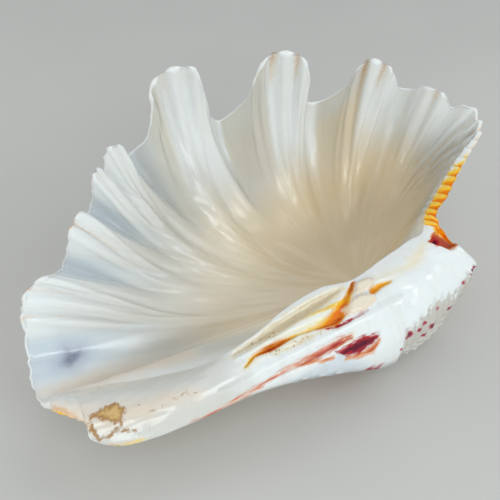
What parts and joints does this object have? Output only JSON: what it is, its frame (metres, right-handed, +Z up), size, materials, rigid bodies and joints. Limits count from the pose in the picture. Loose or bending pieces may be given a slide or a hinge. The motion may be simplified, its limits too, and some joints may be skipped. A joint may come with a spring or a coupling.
{
  "type": "giant clam shell",
  "caption": "Half of a giant clam shell with deep radial folds, a ridged hinge plate and a toothed front margin, lying open side up on its ribbed outside like a bowl.",
  "frame": {"origin": "on the table plane under the middle of the shell's box, with the shell lying on its ribbed outside", "axes": "+X from the long rear end towards the toothed front margin, +Y away from the hinge towards the tall folds, +Z up"},
  "size_m": [0.2309, 0.2028, 0.1332],
  "materials": {
    "shell": "glossy porcelain white inside, matt chalky white outside, with amber and red stains along the hinge and the front margin"
  },
  "bodies": {
    "root": {"shell": "shell"}
  },
  "joints": []
}
